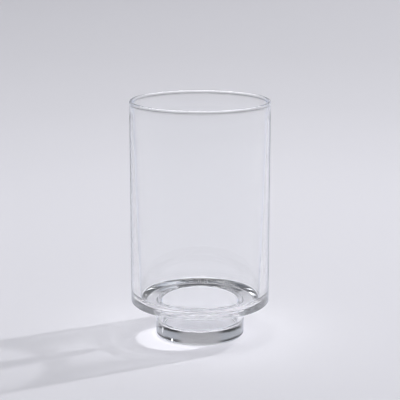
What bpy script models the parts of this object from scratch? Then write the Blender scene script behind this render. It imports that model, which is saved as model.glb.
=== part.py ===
"""Clear glass cylinder vase standing on a smaller round foot.

The body is a straight cylinder with a fire-polished rim. Its wall thickens towards the
bottom and turns inward into a gently sloping shoulder with a round hole in the middle.
Below the hole the foot is a thick-bottomed glass cup, so the inside of the vase steps down
into the foot. A thin clear ring bonds the foot's top edge to the underside of the shoulder.

Metres, +Z up. The origin is the centre of the foot's resting face.
"""

import math

import bmesh
import bpy

# Driving dimensions of the body
TOTAL_HEIGHT = 0.1716
BODY_RADIUS = 0.0500
RIM_THICKNESS = 0.0024
BASE_WALL_THICKNESS = 0.0062
UNDERSIDE_HEIGHT = 0.0247
OUTER_CORNER_RADIUS = 0.0016
INNER_CORNER_RADIUS = 0.0070
SHOULDER_THICKNESS = 0.0015
SHOULDER_SLOPE_DEG = 5.0
WELL_RADIUS = 0.0280
WELL_EDGE_RADIUS = 0.0012

# Driving dimensions of the foot
FOOT_RADIUS = 0.0320
FOOT_FLOOR_THICKNESS = 0.0085
WELL_CORNER_RADIUS = 0.0040
FOOT_BOTTOM_EDGE_RADIUS = 0.0020
FOOT_TOP_EDGE_RADIUS = 0.0006

# Bond between foot and body
BOND_THICKNESS = 0.0003
BOND_INSET = 0.0007
JOINT_GAP = 0.0003

# Fineness of the turned shapes
TURN_STEPS = 72
ARC_STEP_DEG = 15.0
SHARP_ANGLE_DEG = 40.0
MERGE_DISTANCE = 0.00001

# Heights and radii that follow from the dimensions above
INNER_RADIUS = BODY_RADIUS - BASE_WALL_THICKNESS
RIM_ROUNDING = RIM_THICKNESS / 2
WELL_EDGE_HEIGHT = UNDERSIDE_HEIGHT + SHOULDER_THICKNESS
BOND_TOP = UNDERSIDE_HEIGHT - JOINT_GAP
BOND_BOTTOM = BOND_TOP - BOND_THICKNESS
FOOT_TOP = BOND_BOTTOM - JOINT_GAP


def clear_scene():
    """Remove every object, so that the model stands alone."""
    for old in list(bpy.data.objects):
        bpy.data.objects.remove(old, do_unlink=True)


def arc(centre_radius, centre_height, bend, start_deg, end_deg):
    """Profile points (radius, height) along a circular arc, both ends included."""
    steps = max(2, round(abs(end_deg - start_deg) / ARC_STEP_DEG))
    points = []
    for i in range(steps + 1):
        angle = math.radians(start_deg + (end_deg - start_deg) * i / steps)
        points.append((centre_radius + bend * math.cos(angle),
                       centre_height + bend * math.sin(angle)))
    return points


def glass(name, colour, roughness, ior):
    """Clear material of one piece."""
    material = bpy.data.materials.new(name)
    material.use_nodes = True
    shader = material.node_tree.nodes["Principled BSDF"]
    shader.inputs["Base Color"].default_value = (*colour, 1.0)
    shader.inputs["Metallic"].default_value = 0.0
    shader.inputs["Roughness"].default_value = roughness
    shader.inputs["IOR"].default_value = ior
    shader.inputs["Transmission Weight"].default_value = 1.0
    return material


def turned(name, profile, material, parent):
    """Closed solid made by turning a profile about the Z axis.

    A profile that ends on the axis closes there. Any other profile is a ring's section,
    and its last point joins its first.
    """
    shape = bmesh.new()
    verts = [shape.verts.new((radius, 0.0, height)) for radius, height in profile]
    edges = [shape.edges.new(pair) for pair in zip(verts, verts[1:])]
    if profile[-1][0] > 0.0:
        edges.append(shape.edges.new((verts[-1], verts[0])))
    bmesh.ops.spin(shape, geom=verts + edges, cent=(0, 0, 0), axis=(0, 0, 1),
                   angle=math.tau, steps=TURN_STEPS, use_merge=True)
    bmesh.ops.remove_doubles(shape, verts=shape.verts, dist=MERGE_DISTANCE)
    bmesh.ops.recalc_face_normals(shape, faces=shape.faces)
    mesh = bpy.data.meshes.new(name)
    shape.to_mesh(mesh)
    shape.free()
    mesh.materials.append(material)
    mesh.shade_smooth()
    mesh.set_sharp_from_angle(angle=math.radians(SHARP_ANGLE_DEG))
    piece = bpy.data.objects.new(name, mesh)
    bpy.context.scene.collection.objects.link(piece)
    piece.parent = parent
    return piece


def shoulder_corner(inner_edge):
    """Arc from the sloping shoulder, which starts at inner_edge, up to the wall."""
    slope = math.radians(SHOULDER_SLOPE_DEG)
    centre_radius = INNER_RADIUS - INNER_CORNER_RADIUS
    meeting_radius = centre_radius + INNER_CORNER_RADIUS * math.sin(slope)
    meeting_height = inner_edge[1] + (meeting_radius - inner_edge[0]) * math.tan(slope)
    centre_height = meeting_height + INNER_CORNER_RADIUS * math.cos(slope)
    return arc(centre_radius, centre_height, INNER_CORNER_RADIUS, SHOULDER_SLOPE_DEG - 90, 0)


def glass_body(parent):
    """Cylinder wall and shoulder in one, open at the top and at the well."""
    profile = [(WELL_RADIUS, UNDERSIDE_HEIGHT)]
    profile += arc(WELL_RADIUS + WELL_EDGE_RADIUS, WELL_EDGE_HEIGHT - WELL_EDGE_RADIUS,
                   WELL_EDGE_RADIUS, 180, 90 + SHOULDER_SLOPE_DEG)
    profile += shoulder_corner(profile[-1])
    profile += arc(BODY_RADIUS - RIM_ROUNDING, TOTAL_HEIGHT - RIM_ROUNDING, RIM_ROUNDING, 180, 0)
    profile += arc(BODY_RADIUS - OUTER_CORNER_RADIUS, UNDERSIDE_HEIGHT + OUTER_CORNER_RADIUS,
                   OUTER_CORNER_RADIUS, 0, -90)
    material = glass("body_glass", (0.93, 0.95, 0.96), 0.01, 1.50)
    return turned("glass_body", profile, material, parent)


def bond_film(parent):
    """Clear adhesive ring between the foot's top edge and the shoulder."""
    inner = WELL_RADIUS + BOND_INSET
    outer = FOOT_RADIUS - BOND_INSET
    profile = [(inner, BOND_BOTTOM), (inner, BOND_TOP), (outer, BOND_TOP), (outer, BOND_BOTTOM)]
    material = glass("bond_film", (0.95, 0.96, 0.96), 0.05, 1.49)
    return turned("bond_film", profile, material, parent)


def glass_foot(parent):
    """Thick-bottomed cup: the well inside, a softened top edge, a rounder bottom edge."""
    edge = FOOT_TOP_EDGE_RADIUS
    profile = [(0.0, FOOT_FLOOR_THICKNESS)]
    profile += arc(WELL_RADIUS - WELL_CORNER_RADIUS, FOOT_FLOOR_THICKNESS + WELL_CORNER_RADIUS,
                   WELL_CORNER_RADIUS, -90, 0)
    profile += arc(WELL_RADIUS + edge, FOOT_TOP - edge, edge, 180, 90)
    profile += arc(FOOT_RADIUS - edge, FOOT_TOP - edge, edge, 90, 0)
    profile += arc(FOOT_RADIUS - FOOT_BOTTOM_EDGE_RADIUS, FOOT_BOTTOM_EDGE_RADIUS,
                   FOOT_BOTTOM_EDGE_RADIUS, 0, -90)
    profile.append((0.0, 0.0))
    material = glass("foot_glass", (0.92, 0.94, 0.96), 0.01, 1.50)
    return turned("glass_foot", profile, material, parent)


def main():
    clear_scene()
    vase = bpy.data.objects.new("vase", None)
    bpy.context.scene.collection.objects.link(vase)
    glass_body(vase)
    bond_film(vase)
    glass_foot(vase)


main()
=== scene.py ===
"""Looks of the clear glass cylinder vase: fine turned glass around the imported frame.

Metres, +Z up, in the frame's own coordinates. The three glass pieces are turned from
profiles. Their main sizes come from the frame, and the thicknesses and roundings are given
here. The rim's bead and neck are only in this file, and the CAD's rim is plain.

The lamps and the sky are set for one camera view. See key_light and foot_patch.
"""

import math

import bmesh
import bpy
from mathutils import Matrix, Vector


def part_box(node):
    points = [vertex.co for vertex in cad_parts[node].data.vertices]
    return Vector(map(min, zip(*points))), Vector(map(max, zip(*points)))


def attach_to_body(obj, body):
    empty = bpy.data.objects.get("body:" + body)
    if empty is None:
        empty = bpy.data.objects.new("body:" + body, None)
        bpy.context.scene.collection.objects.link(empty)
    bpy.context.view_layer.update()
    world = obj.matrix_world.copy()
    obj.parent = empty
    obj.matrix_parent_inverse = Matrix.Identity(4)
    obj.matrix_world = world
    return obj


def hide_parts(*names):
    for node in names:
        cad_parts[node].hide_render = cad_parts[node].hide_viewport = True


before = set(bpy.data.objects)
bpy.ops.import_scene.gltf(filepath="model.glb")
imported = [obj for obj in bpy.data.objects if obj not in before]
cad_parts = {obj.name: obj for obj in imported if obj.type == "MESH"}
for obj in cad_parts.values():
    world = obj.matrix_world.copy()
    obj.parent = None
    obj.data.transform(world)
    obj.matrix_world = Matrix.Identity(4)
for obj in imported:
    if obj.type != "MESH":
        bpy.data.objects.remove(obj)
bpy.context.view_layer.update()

# Main sizes, read from the frame
BODY_LOW, BODY_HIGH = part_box("glass_body")
FILM_LOW, FILM_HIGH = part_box("bond_film")
BODY_RADIUS = BODY_HIGH.x
RIM_HEIGHT = BODY_HIGH.z
UNDERSIDE = BODY_LOW.z
FOOT_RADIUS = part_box("glass_foot")[1].x
WELL_RADIUS = min(v.co.xy.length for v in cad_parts["glass_body"].data.vertices)
ABOVE_UNDERSIDE = 0.003
WELL_FLOOR = min(v.co.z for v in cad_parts["glass_foot"].data.vertices
                 if v.co.xy.length < WELL_RADIUS and v.co.z > ABOVE_UNDERSIDE)

# Glass details
RIM_THICKNESS = 0.0024
NECK_THICKNESS = 0.0017
RIM_NECK_DROP = 0.0034
NECK_LENGTH = 0.008
NORMAL_GUARD = 0.0005
BEAD_TURN_DEG = 38
BASE_WALL_THICKNESS = 0.0062
INNER_CORNER = 0.0070
SHOULDER_THICKNESS = 0.0015
SHOULDER_SLOPE_DEG = 5.0
WELL_EDGE = 0.0012
WELL_CORNER = 0.0040
OUTER_CORNER = 0.0016
FOOT_BOTTOM_EDGE = 0.0020
CONTACT_GAP = 0.00002
CONTACT_TOLERANCE = 0.00005
FLAT_NORMAL = 0.99

# Fineness of the turned meshes
TURN_STEPS = 192
ARC_STEP_DEG = 5.0
SHARP_ANGLE_DEG = 35
MERGE_DISTANCE = 0.000001

# Camera
CAMERA_BACK = 0.9077
CAMERA_HEIGHT = 0.3081
CAMERA_TILT_DEG = 12.955
LENS_MM = 117.0
SENSOR_MM = 36.0
CAMERA_FAR = 100.0

# Finish of the glass. Waves: depth, noise scale, heights where they are full and where they end
GLASS_IOR = 1.5
BODY_TINT = (0.992, 0.995, 0.997)
FOOT_TINT = (0.990, 0.994, 0.997)
BODY_WAVES = (0.00003, 60.0, (0.030, 0.050))
FOOT_WAVES = (0.00004, 150.0, (0.040, 0.055))
WAVE_RADIUS_FROM = FOOT_RADIUS - 0.002
WAVE_RADIUS_FULL = FOOT_RADIUS - 0.0005
EDGE_TINT = (0.74, 0.82, 1.0)
EDGE_TINT_BAND = (0.66, 0.92)
WIPE_SCALE = 35.0
WIPE_ROUGHNESS = 0.008
WIPE_BAND = (0.58, 0.80)

# Light
KEY_AZIMUTH_DEG = 27.5
KEY_ELEVATION_DEG = 45.0
KEY_DISTANCE = 20.0
KEY_RADIUS = 0.30
KEY_WATTS = 3850.0
CAUSTIC_SHARE = 0.27
SHADOW_SHARE = 0.01
PATCH_CENTRE = (-0.018, -0.013)
PATCH_RADIUS = 0.030
PATCH_LAMP_HEIGHT = 2.0
PATCH_WATTS = 60.0
PATCH_BLEND = 0.25
RIM_SOFTBOX_PLACE = (0.0, 0.8, 2.4)
RIM_SOFTBOX_SIZE = 4.5
RIM_SOFTBOX_WATTS = 300.0
# Sky greys against the sine of elevation: front and back, then the sides
SKY = [(0.0, 0.57), (0.12, 0.52), (0.25, 0.38), (0.36, 0.35), (0.43, 0.20),
       (0.55, 0.12), (0.72, 0.08), (0.85, 0.08), (0.95, 0.12), (1.0, 0.30)]
SIDE_SKY = [(0.0, 0.57), (0.12, 0.52), (0.222, 0.42), (0.232, 0.03), (0.290, 0.03), (0.300, 0.38),
            (0.340, 0.36), (0.352, 0.02), (0.70, 0.05), (0.85, 0.14), (1.0, 0.22)]
SIDE_SKY_FROM = 0.24
SIDE_SKY_FULL = 0.44
SKY_COLOUR = (1.0, 1.0, 1.07)
SIDE_SKY_COLOUR = (0.95, 1.0, 1.12)
# Soft boxes and dark flags: azimuth and elevation, inner and outer radius (degrees), colour
SKY_PANELS = [
    (140.0, 55.0, 12.0, 18.0, (0.08, 0.09, 0.11)),
    (38.0, 60.0, 10.0, 15.0, (0.50, 0.54, 0.62)),
    (60.0, 25.0, 1.6, 2.8, (3.0, 3.0, 3.1)),
    (60.5, 15.5, 1.0, 2.0, (3.0, 3.0, 3.1)),
    (40.0, 20.5, 1.5, 3.0, (0.8, 0.8, 0.85)),
]
SKY_PANELS += [(azimuth, 42.0, 3.5, 5.5, (2.0, 2.05, 2.2))
               for azimuth in (-150.0, -100.0, -55.0, 5.0, 175.0)]
# Painted light: the floor's colour is lightest in a soft pool about a point near the vase and darker
# further out. Stops are scaled distance from that point and grey.
PAINTED_LIGHT_POOL = [(0.0, 1.0), (0.09, 0.985), (0.17, 0.93), (0.30, 0.84), (0.55, 0.76), (1.0, 0.76)]
PAINTED_LIGHT_POOL_CENTRE = (0.05, 0.25)
PAINTED_LIGHT_POOL_REACH = 2.8
FLOOR_COLOUR = (0.745, 0.738, 0.785)
FLOOR_HALF = 40.0
FLOOR_DROP = 0.0001
FLOOR_ROUGHNESS = 0.8
FLOOR_SPECULAR = 0.2

# Rays through the glass
GLASS_BOUNCES = 128
GLOSSY_BOUNCES = 64
CONTACT_CROSSINGS = 512
PIXEL_FILTER = 1.1


def arc(centre_radius, centre_height, bend, start_deg, end_deg):
    """Profile points (radius, height) along a circular arc, both ends included."""
    steps = max(2, round(abs(end_deg - start_deg) / ARC_STEP_DEG))
    points = []
    for i in range(steps + 1):
        angle = math.radians(start_deg + (end_deg - start_deg) * i / steps)
        points.append((centre_radius + bend * math.cos(angle),
                       centre_height + bend * math.sin(angle)))
    return points


def shoulder_corner(inner_edge):
    """Arc from the sloping shoulder, which starts at inner_edge, up to the wall."""
    slope = math.radians(SHOULDER_SLOPE_DEG)
    centre_radius = BODY_RADIUS - BASE_WALL_THICKNESS - INNER_CORNER
    meeting_radius = centre_radius + INNER_CORNER * math.sin(slope)
    meeting_height = inner_edge[1] + (meeting_radius - inner_edge[0]) * math.tan(slope)
    centre_height = meeting_height + INNER_CORNER * math.cos(slope)
    return arc(centre_radius, centre_height, INNER_CORNER, SHOULDER_SLOPE_DEG - 90, 0)


def turned(name, profile):
    """Closed smooth mesh object made by turning a profile about the Z axis."""
    shape = bmesh.new()
    verts = [shape.verts.new((radius, 0.0, height)) for radius, height in profile]
    edges = [shape.edges.new(pair) for pair in zip(verts, verts[1:])]
    if profile[-1][0] > 0.0:
        edges.append(shape.edges.new((verts[-1], verts[0])))
    bmesh.ops.spin(shape, geom=verts + edges, cent=(0, 0, 0), axis=(0, 0, 1),
                   angle=math.tau, steps=TURN_STEPS, use_merge=True)
    bmesh.ops.remove_doubles(shape, verts=shape.verts, dist=MERGE_DISTANCE)
    bmesh.ops.recalc_face_normals(shape, faces=shape.faces)
    mesh = bpy.data.meshes.new(name)
    shape.to_mesh(mesh)
    shape.free()
    mesh.shade_smooth()
    mesh.set_sharp_from_angle(angle=math.radians(SHARP_ANGLE_DEG))
    piece = bpy.data.objects.new(name, mesh)
    bpy.context.scene.collection.objects.link(piece)
    return piece


def masked(tree, value, start, end):
    """Smooth mask of a value: 0 at start and 1 at end."""
    mask = tree.nodes.new("ShaderNodeMapRange")
    mask.interpolation_type = "SMOOTHSTEP"
    mask.inputs["From Min"].default_value = start
    mask.inputs["From Max"].default_value = end
    tree.links.new(value, mask.inputs["Value"])
    return mask.outputs["Result"]


def glass_material(name, tint, wave_size, wave_scale, wave_band):
    """Clear glass, wavy on its outer face inside a band of heights, with faint wipe marks.

    wave_band gives the height where the waves are full and the height where they end.
    """
    material = bpy.data.materials.new(name)
    material.use_nodes = True
    tree = material.node_tree
    shader = tree.nodes["Principled BSDF"]
    shader.inputs["IOR"].default_value = GLASS_IOR
    shader.inputs["Transmission Weight"].default_value = 1.0
    place = tree.nodes.new("ShaderNodeTexCoord")
    parts = tree.nodes.new("ShaderNodeSeparateXYZ")
    flat = tree.nodes.new("ShaderNodeCombineXYZ")
    radius = tree.nodes.new("ShaderNodeVectorMath")
    radius.operation = "LENGTH"
    tree.links.new(place.outputs["Object"], parts.inputs[0])
    tree.links.new(parts.outputs["X"], flat.inputs["X"])
    tree.links.new(parts.outputs["Y"], flat.inputs["Y"])
    tree.links.new(flat.outputs[0], radius.inputs[0])
    outside = masked(tree, radius.outputs["Value"], WAVE_RADIUS_FROM, WAVE_RADIUS_FULL)
    low = masked(tree, parts.outputs["Z"], wave_band[1], wave_band[0])
    where = tree.nodes.new("ShaderNodeMath")
    where.operation = "MULTIPLY"
    tree.links.new(outside, where.inputs[0])
    tree.links.new(low, where.inputs[1])
    wave = tree.nodes.new("ShaderNodeTexNoise")
    wave.inputs["Scale"].default_value = wave_scale
    wave.inputs["Detail"].default_value = 1.0
    tree.links.new(place.outputs["Object"], wave.inputs["Vector"])
    height = tree.nodes.new("ShaderNodeMath")
    height.operation = "MULTIPLY"
    tree.links.new(wave.outputs["Fac"], height.inputs[0])
    tree.links.new(where.outputs[0], height.inputs[1])
    bump = tree.nodes.new("ShaderNodeBump")
    bump.inputs["Strength"].default_value = 1.0
    bump.inputs["Distance"].default_value = wave_size
    tree.links.new(height.outputs[0], bump.inputs["Height"])
    tree.links.new(bump.outputs["Normal"], shader.inputs["Normal"])
    grazing = tree.nodes.new("ShaderNodeLayerWeight")
    depth = tree.nodes.new("ShaderNodeMix")
    depth.data_type = "RGBA"
    depth.inputs["A"].default_value = (*tint, 1)
    depth.inputs["B"].default_value = (*EDGE_TINT, 1)
    tree.links.new(masked(tree, grazing.outputs["Facing"], *EDGE_TINT_BAND), depth.inputs["Factor"])
    tree.links.new(depth.outputs["Result"], shader.inputs["Base Color"])
    wipes = tree.nodes.new("ShaderNodeTexNoise")
    wipes.inputs["Scale"].default_value = WIPE_SCALE
    wipes.inputs["Detail"].default_value = 3.0
    haze = masked(tree, wipes.outputs["Fac"], *WIPE_BAND)
    rough = tree.nodes.new("ShaderNodeMath")
    rough.operation = "MULTIPLY"
    rough.inputs[1].default_value = WIPE_ROUGHNESS
    tree.links.new(place.outputs["Object"], wipes.inputs["Vector"])
    tree.links.new(haze, rough.inputs[0])
    tree.links.new(rough.outputs[0], shader.inputs["Roughness"])
    return material


def contact_material():
    """Where two pieces of glass are bonded there is no surface to see."""
    material = bpy.data.materials.new("bonded_contact")
    material.use_nodes = True
    tree = material.node_tree
    tree.nodes.remove(tree.nodes["Principled BSDF"])
    clear = tree.nodes.new("ShaderNodeBsdfTransparent")
    tree.links.new(clear.outputs[0], tree.nodes["Material Output"].inputs["Surface"])
    return material


def mark_contact(piece, height):
    """Gives slot 1 to the flat faces at a height where the foot and the body are bonded."""
    for face in piece.data.polygons:
        flat = abs(face.normal.z) > FLAT_NORMAL
        near = abs(face.center.z - height) < CONTACT_TOLERANCE
        if flat and near and face.center.xy.length < FOOT_RADIUS:
            face.material_index = 1


def attach(piece, node, materials):
    for material in materials:
        piece.data.materials.append(material)
    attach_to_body(piece, "root")
    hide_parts(node)


def vase_body(contact):
    edge_height = UNDERSIDE + SHOULDER_THICKNESS
    profile = [(WELL_RADIUS, UNDERSIDE)]
    profile += arc(WELL_RADIUS + WELL_EDGE, edge_height - WELL_EDGE, WELL_EDGE,
                   180, 90 + SHOULDER_SLOPE_DEG)
    profile += shoulder_corner(profile[-1])
    rim = RIM_THICKNESS / 2
    neck = RIM_HEIGHT - RIM_NECK_DROP
    middle = BODY_RADIUS - rim
    wall_top = neck - NECK_LENGTH
    inner = BODY_RADIUS - RIM_THICKNESS
    profile += [(inner, wall_top - NORMAL_GUARD), (inner, wall_top)]
    profile.append((middle - NECK_THICKNESS / 2, neck))
    profile += arc(middle, RIM_HEIGHT - rim, rim, 180 + BEAD_TURN_DEG, -BEAD_TURN_DEG)
    profile.append((middle + NECK_THICKNESS / 2, neck))
    profile += [(BODY_RADIUS, wall_top), (BODY_RADIUS, wall_top - NORMAL_GUARD)]
    profile += arc(BODY_RADIUS - OUTER_CORNER, UNDERSIDE + OUTER_CORNER, OUTER_CORNER, 0, -90)
    profile.append((FOOT_RADIUS - CONTACT_GAP, UNDERSIDE))
    piece = turned("vase_body", profile)
    attach(piece, "glass_body",
           [glass_material("clear_body", BODY_TINT, *BODY_WAVES), contact])
    mark_contact(piece, UNDERSIDE)
    return piece


def vase_bond(contact):
    top = UNDERSIDE - CONTACT_GAP
    low = top - (FILM_HIGH.z - FILM_LOW.z)
    inner = WELL_RADIUS + CONTACT_GAP
    outer = FOOT_RADIUS - CONTACT_GAP
    piece = turned("vase_bond", [(inner, low), (inner, top), (outer, top), (outer, low)])
    attach(piece, "bond_film",
           [glass_material("clear_bond", BODY_TINT, *FOOT_WAVES), contact])
    mark_contact(piece, top)
    mark_contact(piece, low)
    return piece


def vase_foot(contact):
    top = UNDERSIDE - 2 * CONTACT_GAP - (FILM_HIGH.z - FILM_LOW.z)
    profile = [(0.0, WELL_FLOOR)]
    profile += arc(WELL_RADIUS - WELL_CORNER, WELL_FLOOR + WELL_CORNER, WELL_CORNER, -90, 0)
    profile += [(WELL_RADIUS, top), (FOOT_RADIUS, top)]
    profile += arc(FOOT_RADIUS - FOOT_BOTTOM_EDGE, FOOT_BOTTOM_EDGE, FOOT_BOTTOM_EDGE, 0, -90)
    profile.append((0.0, 0.0))
    piece = turned("vase_foot", profile)
    attach(piece, "glass_foot",
           [glass_material("clear_foot", FOOT_TINT, *FOOT_WAVES), contact])
    mark_contact(piece, top)
    return piece


def ramp_node(tree, stops, colour):
    """Colour ramp whose stops are a colour times the given greys."""
    ramp = tree.nodes.new("ShaderNodeValToRGB")
    elements = ramp.color_ramp.elements
    while len(elements) < len(stops):
        elements.new(0.5)
    for element, (position, grey) in zip(elements, stops):
        element.position = position
        element.color = (colour[0] * grey, colour[1] * grey, colour[2] * grey, 1)
    return ramp


def studio_floor():
    """Wide pale floor, lightest in a soft pool round the vase. The pool is painted light: a pool of
    lamp light painted into the floor's colour.
    """
    mesh = bpy.data.meshes.new("studio_floor")
    h = FLOOR_HALF
    mesh.from_pydata([(-h, -h, 0), (h, -h, 0), (h, h, 0), (-h, h, 0)], [], [(0, 1, 2, 3)])
    floor = bpy.data.objects.new("studio_floor", mesh)
    bpy.context.scene.collection.objects.link(floor)
    floor.location.z = -FLOOR_DROP
    material = bpy.data.materials.new("pale_floor")
    material.use_nodes = True
    tree = material.node_tree
    shader = tree.nodes["Principled BSDF"]
    shader.inputs["Roughness"].default_value = FLOOR_ROUGHNESS
    shader.inputs["Specular IOR Level"].default_value = FLOOR_SPECULAR
    place = tree.nodes.new("ShaderNodeTexCoord")
    pool = tree.nodes.new("ShaderNodeMapping")
    pool.vector_type = "TEXTURE"
    pool.inputs["Location"].default_value = (*PAINTED_LIGHT_POOL_CENTRE, 0)
    pool.inputs["Scale"].default_value = (PAINTED_LIGHT_POOL_REACH,) * 3
    distance = tree.nodes.new("ShaderNodeVectorMath")
    distance.operation = "LENGTH"
    # Painted light pool: the floor's colour fades with distance from the pool's centre.
    ramp = ramp_node(tree, PAINTED_LIGHT_POOL, FLOOR_COLOUR)
    ramp.color_ramp.interpolation = "B_SPLINE"
    tree.links.new(place.outputs["Object"], pool.inputs["Vector"])
    tree.links.new(pool.outputs["Vector"], distance.inputs[0])
    tree.links.new(distance.outputs["Value"], ramp.inputs[0])
    tree.links.new(ramp.outputs[0], shader.inputs["Base Color"])
    mesh.materials.append(material)
    return floor


def direction(azimuth_deg, elevation_deg):
    """Unit vector; azimuth 0 is the vase's right and 90 is behind it."""
    azimuth = math.radians(azimuth_deg)
    elevation = math.radians(elevation_deg)
    return Vector((math.cos(azimuth) * math.cos(elevation),
                   math.sin(azimuth) * math.cos(elevation), math.sin(elevation)))


def studio_sky():
    """World light that is pale at the horizon and darker overhead, with bands at the sides."""
    world = bpy.data.worlds.new("studio")
    bpy.context.scene.world = world
    world.use_nodes = True
    tree = world.node_tree
    place = tree.nodes.new("ShaderNodeTexCoord")
    split = tree.nodes.new("ShaderNodeSeparateXYZ")
    ramp = ramp_node(tree, SKY, SKY_COLOUR)
    side_ramp = ramp_node(tree, SIDE_SKY, SIDE_SKY_COLOUR)
    tree.links.new(place.outputs["Generated"], split.inputs[0])
    tree.links.new(split.outputs["Z"], ramp.inputs[0])
    tree.links.new(split.outputs["Z"], side_ramp.inputs[0])
    flat = tree.nodes.new("ShaderNodeCombineXYZ")
    heading = tree.nodes.new("ShaderNodeVectorMath")
    heading.operation = "NORMALIZE"
    sideways = tree.nodes.new("ShaderNodeSeparateXYZ")
    size = tree.nodes.new("ShaderNodeMath")
    size.operation = "ABSOLUTE"
    tree.links.new(split.outputs["X"], flat.inputs["X"])
    tree.links.new(split.outputs["Y"], flat.inputs["Y"])
    tree.links.new(flat.outputs[0], heading.inputs[0])
    tree.links.new(heading.outputs[0], sideways.inputs[0])
    tree.links.new(sideways.outputs["X"], size.inputs[0])
    both = tree.nodes.new("ShaderNodeMix")
    both.data_type = "RGBA"
    tree.links.new(masked(tree, size.outputs[0], SIDE_SKY_FROM, SIDE_SKY_FULL), both.inputs["Factor"])
    tree.links.new(ramp.outputs[0], both.inputs["A"])
    tree.links.new(side_ramp.outputs[0], both.inputs["B"])
    sky = both.outputs["Result"]
    for azimuth, elevation, inner, outer, colour in SKY_PANELS:
        facing = tree.nodes.new("ShaderNodeVectorMath")
        facing.operation = "DOT_PRODUCT"
        facing.inputs[1].default_value = direction(azimuth, elevation)
        mask = masked(tree, facing.outputs["Value"], math.cos(math.radians(outer)),
                      math.cos(math.radians(inner)))
        panel = tree.nodes.new("ShaderNodeMix")
        panel.data_type = "RGBA"
        panel.inputs["B"].default_value = (*colour, 1)
        tree.links.new(place.outputs["Generated"], facing.inputs[0])
        tree.links.new(mask, panel.inputs["Factor"])
        tree.links.new(sky, panel.inputs["A"])
        sky = panel.outputs["Result"]
    tree.links.new(sky, tree.nodes["Background"].inputs["Color"])


def key_lamp(name, watts):
    """Far round softbox above and behind the vase, to its right."""
    towards = direction(KEY_AZIMUTH_DEG, KEY_ELEVATION_DEG)
    data = bpy.data.lights.new(name, "AREA")
    data.shape = "DISK"
    data.size = 2 * KEY_RADIUS
    data.energy = watts
    lamp = bpy.data.objects.new(name, data)
    bpy.context.scene.collection.objects.link(lamp)
    lamp.location = towards * KEY_DISTANCE
    lamp.rotation_euler = (-towards).to_track_quat("-Z", "Y").to_euler()
    return lamp


def let_through(lamp, pieces):
    """The lamp's light isn't stopped by these pieces."""
    blockers = bpy.data.collections.new(lamp.name + "_not_stopped_by")
    lamp.light_linking.blocker_collection = blockers
    for piece in pieces:
        blockers.objects.link(piece)
    for member in blockers.collection_objects:
        member.light_linking.link_state = "EXCLUDE"


def key_light(pieces, floor):
    """Three lamps in one place share the key light. The first passes the glass as if it
    weren't there, the second is stopped by it, and the third is focused into caustics.
    The shares are chosen for how dark the shadow looks. They aren't physical."""
    passing = key_lamp("key_passing", KEY_WATTS * (1 - CAUSTIC_SHARE - SHADOW_SHARE))
    let_through(passing, pieces)
    key_lamp("key_stopped", KEY_WATTS * SHADOW_SHARE)
    focused = key_lamp("key_focused", KEY_WATTS * CAUSTIC_SHARE)
    focused.data.cycles.is_caustics_light = True
    floor.cycles.is_caustics_receiver = True
    for piece in pieces:
        piece.cycles.is_caustics_caster = True


def foot_patch(pieces_above):
    """Spot lamp standing in for the light that the foot focuses on the floor.
    It doesn't follow the key light."""
    data = bpy.data.lights.new("foot_patch", "SPOT")
    data.spot_size = 2 * math.atan(PATCH_RADIUS / PATCH_LAMP_HEIGHT)
    data.spot_blend = PATCH_BLEND
    data.shadow_soft_size = 0.0
    data.energy = PATCH_WATTS
    lamp = bpy.data.objects.new("foot_patch", data)
    bpy.context.scene.collection.objects.link(lamp)
    lamp.location = (*PATCH_CENTRE, PATCH_LAMP_HEIGHT)
    let_through(lamp, pieces_above)


def rim_softbox():
    """Large overhead panel that only shows as a reflection, mostly along the rim."""
    data = bpy.data.lights.new("rim_softbox", "AREA")
    data.shape = "SQUARE"
    data.size = RIM_SOFTBOX_SIZE
    data.energy = RIM_SOFTBOX_WATTS
    lamp = bpy.data.objects.new("rim_softbox", data)
    bpy.context.scene.collection.objects.link(lamp)
    lamp.location = RIM_SOFTBOX_PLACE
    lamp.visible_camera = False
    lamp.visible_diffuse = False
    lamp.visible_transmission = False


def camera():
    data = bpy.data.cameras.new("camera")
    data.lens = LENS_MM
    data.sensor_width = SENSOR_MM
    data.clip_end = CAMERA_FAR
    view = bpy.data.objects.new("camera", data)
    bpy.context.scene.collection.objects.link(view)
    view.location = (0.0, -CAMERA_BACK, CAMERA_HEIGHT)
    view.rotation_euler = (math.radians(90 - CAMERA_TILT_DEG), 0.0, 0.0)
    bpy.context.scene.camera = view


def glass_ray_depth():
    """Rays need room to pass every wall of the vase."""
    cycles = bpy.context.scene.cycles
    cycles.max_bounces = GLASS_BOUNCES
    cycles.transmission_bounces = GLASS_BOUNCES
    cycles.glossy_bounces = GLOSSY_BOUNCES
    cycles.transparent_max_bounces = CONTACT_CROSSINGS
    cycles.blur_glossy = 0.0
    cycles.filter_width = PIXEL_FILTER


bpy.context.scene.view_settings.view_transform = "Standard"
glass_ray_depth()
camera()
studio_sky()
bonded = contact_material()
upper_glass = [vase_body(bonded), vase_bond(bonded)]
key_light(upper_glass + [vase_foot(bonded)], studio_floor())
foot_patch(upper_glass)
rim_softbox()
